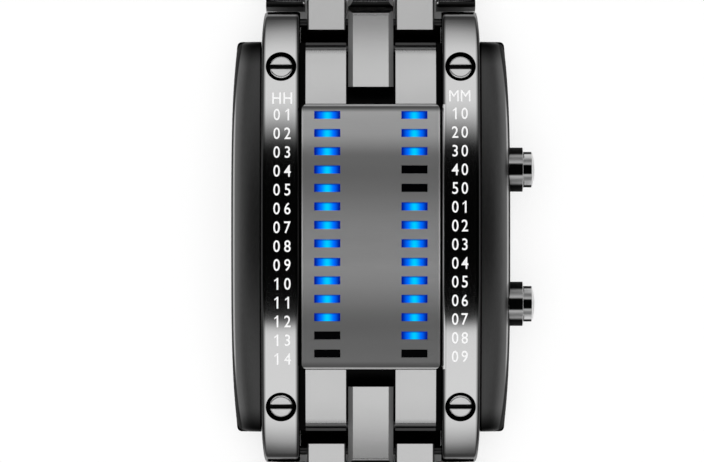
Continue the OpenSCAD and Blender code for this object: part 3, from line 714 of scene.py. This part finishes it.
def side_cover(node_name, sign):
    """A side cover as a profile carried along Y.

    At each y the crown lies on the arch at radius COVER_R and falls to the outer face in a quarter
    ellipse; the outer face is at x = SIDE_OUT - bow (|y| / half length)^4, the inner face is flat,
    and the underside sweeps up beyond the flat middle. Ends are rounded by insetting the profile.
    """
    y, inset = end_steps(HALF_LEN, COVER_ROUND, 121)
    out = SIDE_OUT - SIDE_BOW * (np.abs(y) / HALF_LEN) ** 4 - inset
    top = ARCH_Z + np.sqrt(COVER_R**2 - y**2) - inset
    sweep = np.clip((np.abs(y) - FLAT_HALF) / (HALF_LEN - FLAT_HALF), 0, 1)
    low = COVER_LOW + (COVER_END_Z - COVER_LOW) * sweep + inset
    y, out, top, low = [row[:, None] for row in (y, out, top, low)]
    near = np.full_like(y, SIDE_IN)
    across, up = arc(90, 0, 28)
    foot_across, foot_up = arc(0, -90, 5)
    crown_x = near + COVER_EASE + (out - near - COVER_EASE) * across
    crown_z = top - SIDE_W + SIDE_W * up
    foot_x = out - COVER_FOOT_R + COVER_FOOT_R * foot_across
    foot_z = low + COVER_FOOT_R + COVER_FOOT_R * foot_up
    x = np.hstack([near, near, crown_x, foot_x])
    z = np.hstack([low, top - COVER_EASE, crown_z, foot_z])
    loops = np.stack([sign * x, np.broadcast_to(y, x.shape), z], -1)
    if sign > 0:
        loops = loops[:, ::-1]
    make_piece(
        node_name + "_crown", loops.reshape(-1, 3), loft(loops), "gunmetal_side_cover", "head",
        stands_for=(node_name,), sharp=COVER_SHARP,
    )


def screw_drums(sign):
    """A mesh of two drums on the axes of a rail's screws, whose inner ends are the recesses' floors."""
    drums = bmesh.new()
    lean = math.asin(SCREW_Y / ARCH_R)
    centre_r = (ARCH_R - RECESS_DEPTH + DRUM_LEN / 2) * MM
    for end in (-1, 1):
        spot = Vector((
            sign * SCREW_X * MM,
            end * centre_r * math.sin(lean),
            ARCH_Z * MM + centre_r * math.cos(lean),
        ))
        bmesh.ops.create_cone(
            drums, cap_ends=True, segments=64, depth=DRUM_LEN * MM,
            radius1=RECESS_D / 2 * MM, radius2=RECESS_D / 2 * MM,
            matrix=Matrix.Translation(spot) @ Matrix.Rotation(-end * lean, 4, "X"),
        )
    mesh = bpy.data.meshes.new("drums")
    drums.to_mesh(mesh)
    drums.free()
    return mesh


def rail(node_name, sign):
    """A scale rail as a rounded profile carried round the arch from lug to lug.

    Past a lug pin the rail's half thickness is sqrt(h^2 - s^2), with s the way past the pin and h
    half of the thickness, and its outer edge draws in as the cube of the way past the screws.
    Screw recesses are cut out with drums on the screws' axes.
    """
    half = RAIL_T / 2
    mid = ARCH_R - half
    pin = math.asin(PIN_Y / mid) * mid
    bend = np.linspace(0, math.pi / 2, 9)[1:]
    tip = pin + half * np.sin(bend)
    thin = np.maximum(half * np.cos(bend), TIP_THIN)
    body = np.linspace(-pin, pin, 201)
    way = np.concatenate([-tip[::-1], body, tip])
    thick = np.concatenate([thin[::-1], np.full(len(body), half), thin])[:, None]
    past = np.clip((np.abs(way) - SCREW_Y) / (tip[-1] - SCREW_Y), 0, 1)
    outer = (CASE_W / 2 - RAIL_DRAWN_IN * past**3)[:, None]
    inner = np.full_like(outer, RAIL_IN)
    turn = (way / mid)[:, None]
    cos_a, sin_a = arc(90, 0, 6)
    out_x = outer - RAIL_ROUND + RAIL_ROUND * cos_a
    in_x = inner + RAIL_ROUND - RAIL_ROUND * cos_a
    reach = np.minimum(RAIL_ROUND, thick)
    up = thick - reach + reach * sin_a
    x = np.hstack([out_x, out_x[:, ::-1], in_x, in_x[:, ::-1]])
    radius = mid + np.hstack([up, -up[:, ::-1], -up, up[:, ::-1]])
    loops = np.stack([sign * x, radius * np.sin(turn), ARCH_Z + radius * np.cos(turn)], -1)
    if sign < 0:
        loops = loops[:, ::-1]
    piece = make_piece(
        node_name + "_bar", loops.reshape(-1, 3), loft(loops), "rail_steel", "head",
        stands_for=(node_name,), sharp=RAIL_SHARP,
    )
    cutter = add_object("drums", screw_drums(sign))
    cut = piece.modifiers.new("recesses", "BOOLEAN")
    cut.operation, cut.object, cut.solver = "DIFFERENCE", cutter, "EXACT"
    done = worked_out(piece)
    piece.modifiers.clear()
    piece.data = done
    bpy.data.objects.remove(cutter)
    dress(piece, finishes["rail_steel"])
    done.set_sharp_from_angle(angle=math.radians(RAIL_SHARP))


side_cover("left_side_cover", -1)
side_cover("right_side_cover", 1)
rail("hour_rail", -1)
rail("minute_rail", 1)

# ---------------------------------------------------------------- carried-over CAD nodes
slot_of = {s["node"]: s["material_slot"] for s in frame["record"]["subparts"]}
body_of = {
    node: body for body, held in frame["record"]["behaviour"]["bodies"].items() for node in held
}

# Width of the rounding on the edges of each node that gets one
EDGES = {
    "display_plate": 0.10, "rail_screws": 0.10,
    "upper_end_block": 0.10, "lower_end_block": 0.10, "pusher_tubes": 0.10,
    "upper_pusher": 0.08, "lower_pusher": 0.08, "case_back": 0.08, "back_screws": 0.05,
    "clasp_cover": 0.08, "clasp_long_blade": 0.06, "clasp_short_blade": 0.06,
    "clasp_button_left": 0.06, "clasp_button_right": 0.06,
}
EDGES.update({f"upper_link_{k}": 0.09 for k in range(1, 9)})
EDGES.update({f"lower_link_{k}": 0.09 for k in range(1, 8)})
# Rounded copies whose finish isn't their slot's
SOFT_FINISH = {
    "upper_end_block": arch_steel, "lower_end_block": arch_steel, "rail_screws": screw_steel,
}
SHARP_EDGE = 38.0


def softened(node_name, width):
    """A copy of a node's mesh, merged and with its edges rounded, that stands for the node."""
    mesh = nodes[node_name].data.copy()
    work = bmesh.new()
    work.from_mesh(mesh)
    bmesh.ops.remove_doubles(work, verts=work.verts, dist=1e-7)
    bmesh.ops.dissolve_limit(
        work, angle_limit=math.radians(0.2), verts=work.verts, edges=work.edges
    )
    work.to_mesh(mesh)
    work.free()
    mesh.polygons.foreach_set("use_smooth", [True] * len(mesh.polygons))
    rough = add_object("rough", mesh)
    bevel = rough.modifiers.new("edges", "BEVEL")
    bevel.width = width * MM
    bevel.segments = 2
    bevel.limit_method = "ANGLE"
    bevel.angle_limit = math.radians(SHARP_EDGE)
    bevel.use_clamp_overlap = True
    level = rough.modifiers.new("normals", "WEIGHTED_NORMAL")
    level.keep_sharp = True
    level.weight = 80
    done = worked_out(rough)
    bpy.data.objects.remove(rough)
    bpy.data.meshes.remove(mesh)
    piece = add_object(node_name + "_soft", done)
    dress(piece, SOFT_FINISH.get(node_name) or finishes[slot_of[node_name]])
    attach(piece, body_of[node_name])
    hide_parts(node_name)


for node_name, node_object in nodes.items():
    dress(node_object, finishes[slot_of[node_name]])
# The lug pins get the dark pin steel, as painted shade in their gaps.
dress(nodes["lug_pins"], pin_steel)
for node_name, width in EDGES.items():
    softened(node_name, width)


# ---------------------------------------------------------------- studio
# Degrees from straight up, where the panels toward the strands begin, dim and brighten again
PANEL_UPPER = (19.5, 31.0)
PANEL_LOWER = (18.3, 21.3)
PANEL_DIMS = (41.0, 52.0)
PANEL_BRIGHTENS = (66.0, 84.0)
PANEL_DIMMED = 0.86
PANEL_LEVEL = 0.80
SIDE_PART = (0.78, 1.0)
SIDE_LEVEL = 0.45
CEILING = 0.0008

FLOOR_HALF = 3.0
FLOOR_Z = -1e-5
FLOOR_CLEAR = 0.78
FLOOR_WHOLE_X = (10.6, 11.8)
FLOOR_WHOLE_Y = (27.0, 29.0)

LAMP_SIZE = 0.8
LAMP_Z = 0.6
LAMP_POWER = 5.0


def studio_world():
    """Reflections: dark overhead, a bright panel toward each strand, and paler sides.

    lean is the angle from straight up toward the strands, in degrees, and sides comes from the
    part of the direction along X, so a polished face shows the panels where it slopes half of lean.
    """
    world = bpy.data.worlds.new("studio")
    world.use_nodes = True
    shop = Shop(world.node_tree)
    background = world.node_tree.nodes["Background"]
    camera_ray = shop.node("ShaderNodeLightPath", {}, out=0)
    x, y, z = shop.parts(shop.node("ShaderNodeTexCoord", {}, out=GENERATED))
    lean = y.angle_from(z) * (180 / math.pi)
    panel = lean.fade(*PANEL_UPPER) + (0 - lean).fade(*PANEL_LOWER)
    dimmed = abs(lean).fade(*PANEL_DIMS) * (1 - abs(lean).fade(*PANEL_BRIGHTENS))
    sides = abs(x).fade(*SIDE_PART)
    level = panel * (1 - dimmed * PANEL_DIMMED) * PANEL_LEVEL * (1 - sides) + sides * SIDE_LEVEL
    sky = shop.mix(level, shade(CEILING), shade(1.0))
    seen = shop.mix(camera_ray, sky, shade(1.0))
    world.node_tree.links.new(seen.socket, background.inputs["Color"])
    background.inputs["Strength"].default_value = 1.0
    bpy.context.scene.world = world


def overhead_lamp():
    """A broad lamp for the matt pieces and the floor, which polished steel doesn't mirror."""
    data = bpy.data.lights.new("overhead", "AREA")
    data.shape = "SQUARE"
    data.size = LAMP_SIZE
    data.energy = LAMP_POWER
    lamp = add_object("overhead", data)
    lamp.location = (0.0, 0.0, LAMP_Z)
    lamp.visible_camera = False
    lamp.visible_glossy = False


def floor_piece():
    """A wide pale floor: it keeps the shadow and lets the white behind it through.

    Under the watch it is whole, within both the bracelet's edges and the case's ends.
    """
    corners = [(-1, -1), (1, -1), (1, 1), (-1, 1)]
    mesh = bpy.data.meshes.new("floor")
    mesh.from_pydata(
        [(x * FLOOR_HALF, y * FLOOR_HALF, FLOOR_Z) for x, y in corners], [], [(0, 1, 2, 3)]
    )
    floor = add_object("floor", mesh)
    made = Finish("floor_paper", Base_Color=shade(0.88), Roughness=0.9)
    _, (x, y, _) = made.place()
    under = (1 - abs(x).fade(*FLOOR_WHOLE_X)) * (1 - abs(y).fade(*FLOOR_WHOLE_Y))
    camera_ray = made.node("ShaderNodeLightPath", {}, out=0)
    clear = made.node("ShaderNodeBsdfTransparent", {})
    paper = Value(made, made.shader.outputs[0])
    amount = camera_ray * (1 - under) * FLOOR_CLEAR
    both = made.node("ShaderNodeMixShader", {}, amount, paper, clear)
    made.tree.links.new(both.socket, made.tree.nodes["Material Output"].inputs["Surface"])
    mesh.materials.append(made.material)


def camera():
    """A long lens straight above the dial, at the distance that frames the photograph's width."""
    data = bpy.data.cameras.new("camera")
    data.lens = LENS
    data.sensor_width = SENSOR
    data.clip_start, data.clip_end = 0.01, 50.0
    made = add_object("camera", data)
    away = VIEW_W * LENS / SENSOR
    made.location = (VIEW_MID[0] * MM, VIEW_MID[1] * MM, (DIAL_Z + away) * MM)
    bpy.context.scene.camera = made


studio_world()
overhead_lamp()
floor_piece()
camera()
bpy.context.scene.view_settings.view_transform = "Standard"
